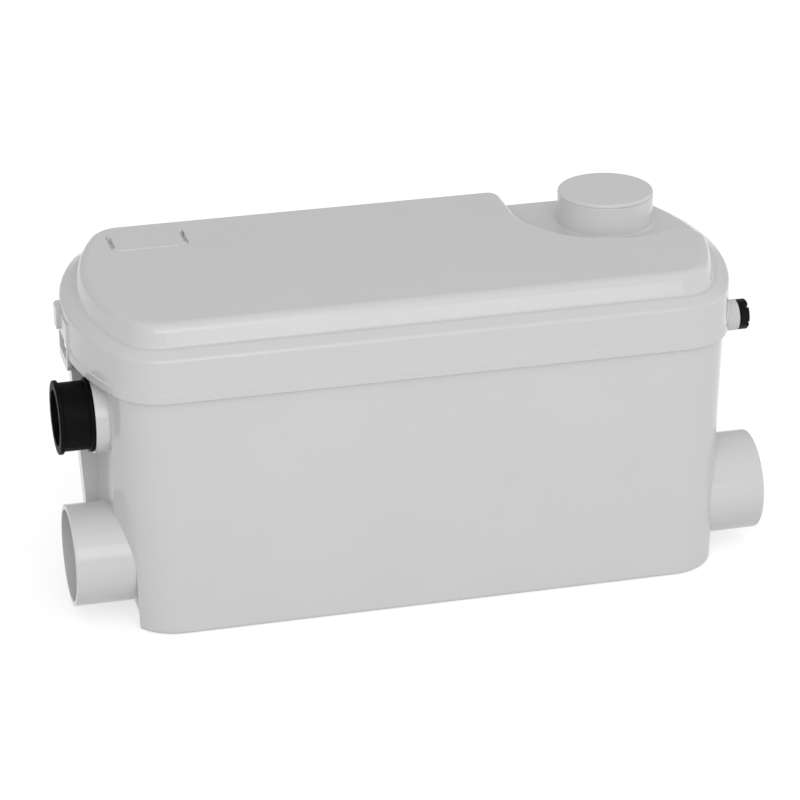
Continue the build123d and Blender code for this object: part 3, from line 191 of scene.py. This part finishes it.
finishes = {
    WHITE: ["tank", "lid", "vent_cover", "port_cap", "discharge_valve_body"],
    BLACK_RUBBER: ["lid_gasket", "port_cap_ring", "inlet_flap_left", "inlet_flap_right", "discharge_sleeve",
                   "discharge_flap", "pump_coupling", "gland_bush", "port_grommet", "vent_grommet",
                   "cable_grommet", "motor_mounts", "shaft_seal", "membrane"],
    BLACK_PLASTIC: ["gland_nut", "switch_cover", "microswitch"],
    GREY_PLASTIC: ["inlet_seat_left", "inlet_seat_right", "discharge_pipe", "deck_plate", "pressure_bell",
                   "switch_plunger", "terminal_block"],
    PUMP_PLASTIC: ["impeller", "pump_casing", "pump_cover", "strainer"],
    STEEL: ["inlet_flap_pin_left", "inlet_flap_pin_right", "discharge_flap_pin", "deck_screws",
            "motor_screws", "motor_mount_screws", "lower_bearing", "upper_bearing", "motor_shaft",
            "cutter_blade", "cutter_spacer", "shaft_nut", "pump_screws", "plunger_spring", "capacitor_clip"],
    CAST_METAL: ["motor_housing", "motor_end_cap"],
    CORE: ["stator_core", "rotor_core"],
    COPPER: ["stator_windings"],
    BRASS: ["terminal_screws"],
    CARBON: ["charcoal_filter"],
    CASE: ["capacitor"],
}
for finish, names in finishes.items():
    for name in names:
        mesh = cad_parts[name].data
        mesh.materials.clear()
        mesh.materials.append(finish)


# Spring of the switch's plunger, drawn as a copy of its mesh that is fixed to the case

spring_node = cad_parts["plunger_spring"]
spring = bpy.data.objects.new("plunger_spring_coils", spring_node.data.copy())
bpy.context.scene.collection.objects.link(spring)
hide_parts("plunger_spring")
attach(spring, "case")
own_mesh(spring)


# Floor, white for the camera apart from the object's shadow

FLOOR_GREY = 0.66
FLOOR_GLOW = 0.60
FLOOR_REACH = 6.0
FLOOR_DROP = 0.2 * MM


def floor_material():
    """A white floor that keeps the shadow that falls on it."""
    material, tree, output = new_material("floor")
    diffuse = tree.nodes.new("ShaderNodeBsdfDiffuse")
    diffuse.inputs["Color"].default_value = (FLOOR_GREY, FLOOR_GREY, FLOOR_GREY, 1.0)
    glow = tree.nodes.new("ShaderNodeEmission")
    glow.inputs["Color"].default_value = (1.0, 1.0, 1.0, 1.0)
    glow.inputs["Strength"].default_value = FLOOR_GLOW
    both = tree.nodes.new("ShaderNodeAddShader")
    link(tree, diffuse.outputs["BSDF"], both.inputs[0])
    link(tree, glow.outputs["Emission"], both.inputs[1])
    path = tree.nodes.new("ShaderNodeLightPath")
    seen = tree.nodes.new("ShaderNodeMath")
    seen.operation = "MAXIMUM"
    link(tree, path.outputs["Is Camera Ray"], seen.inputs[0])
    link(tree, path.outputs["Is Glossy Ray"], seen.inputs[1])
    mix = tree.nodes.new("ShaderNodeMixShader")
    link(tree, seen.outputs["Value"], mix.inputs["Fac"])
    link(tree, diffuse.outputs["BSDF"], mix.inputs[1])
    link(tree, both.outputs["Shader"], mix.inputs[2])
    link(tree, mix.outputs["Shader"], output.inputs["Surface"])
    return material


floor_mesh = bpy.data.meshes.new("floor")
floor_mesh.from_pydata(
    [(-FLOOR_REACH, -FLOOR_REACH, -FLOOR_DROP), (FLOOR_REACH, -FLOOR_REACH, -FLOOR_DROP),
     (FLOOR_REACH, FLOOR_REACH, -FLOOR_DROP), (-FLOOR_REACH, FLOOR_REACH, -FLOOR_DROP)],
    [], [(0, 1, 2, 3)],
)
floor_mesh.materials.append(floor_material())
floor = bpy.data.objects.new("floor", floor_mesh)
bpy.context.scene.collection.objects.link(floor)


# World and lamps

AMBIENT = 0.57
BACKDROP = 1.0

world = bpy.data.worlds.new("studio")
bpy.context.scene.world = world
world.use_nodes = True
sky = world.node_tree
sky.nodes.clear()
sky_output = sky.nodes.new("ShaderNodeOutputWorld")
ambient = sky.nodes.new("ShaderNodeBackground")
ambient.inputs["Color"].default_value = (1.0, 1.0, 1.0, 1.0)
ambient.inputs["Strength"].default_value = AMBIENT
backdrop = sky.nodes.new("ShaderNodeBackground")
backdrop.inputs["Color"].default_value = (1.0, 1.0, 1.0, 1.0)
backdrop.inputs["Strength"].default_value = BACKDROP
sky_path = sky.nodes.new("ShaderNodeLightPath")
sky_mix = sky.nodes.new("ShaderNodeMixShader")
link(sky, sky_path.outputs["Is Camera Ray"], sky_mix.inputs["Fac"])
link(sky, ambient.outputs["Background"], sky_mix.inputs[1])
link(sky, backdrop.outputs["Background"], sky_mix.inputs[2])
link(sky, sky_mix.outputs["Shader"], sky_output.inputs["Surface"])


def softbox(name, place, aim, width, height, power):
    """A rectangular lamp that faces a point."""
    data = bpy.data.lights.new(name, "AREA")
    data.shape = "RECTANGLE"
    data.size = width
    data.size_y = height
    data.energy = power
    lamp = bpy.data.objects.new(name, data)
    lamp.location = place
    lamp.rotation_euler = (Vector(aim) - Vector(place)).to_track_quat("-Z", "Y").to_euler()
    bpy.context.scene.collection.objects.link(lamp)


# Each lamp's place, width and height in metres, and its power in watts
middle = (0.0, 0.0, 0.08)
lamps = {
    "front_lamp": ((-0.36, -2.05, 1.05), 1.6, 1.0, 12.4),
    "top_lamp": ((0.0, -1.48, 1.84), 1.6, 1.0, 3.8),
    "low_lamp": ((0.51, -2.21, 0.48), 0.6, 0.5, 2.0),
    "right_lamp": ((2.27, 0.0, 0.60), 2.4, 2.0, 6.8),
}
for lamp_name, (place, width, height, power) in lamps.items():
    softbox(lamp_name, place, middle, width, height, power)


# Camera, where the photograph was taken from

camera_azimuth = radians(-13.753)
camera_elevation = radians(23.994)
camera_roll = radians(-0.433)
camera_distance = 1.74456
camera_target = Vector((2.04, 0.0, 77.59)) * MM
camera_lens = 155.9
camera_sensor = 36.0

back = Vector((sin(camera_azimuth) * cos(camera_elevation), -cos(camera_azimuth) * cos(camera_elevation),
               sin(camera_elevation)))
level = Vector((cos(camera_azimuth), sin(camera_azimuth), 0.0))
upright = back.cross(level)
right = level * cos(camera_roll) + upright * sin(camera_roll)
up = upright * cos(camera_roll) - level * sin(camera_roll)
camera_data = bpy.data.cameras.new("camera")
camera_data.lens = camera_lens
camera_data.sensor_width = camera_sensor
camera_data.sensor_fit = "HORIZONTAL"
camera = bpy.data.objects.new("camera", camera_data)
spot = camera_target + back * camera_distance
camera.matrix_world = Matrix(
    ((right.x, up.x, back.x, spot.x), (right.y, up.y, back.y, spot.y), (right.z, up.z, back.z, spot.z),
     (0.0, 0.0, 0.0, 1.0))
)
bpy.context.scene.collection.objects.link(camera)
bpy.context.scene.camera = camera
bpy.context.scene.view_settings.view_transform = "Standard"
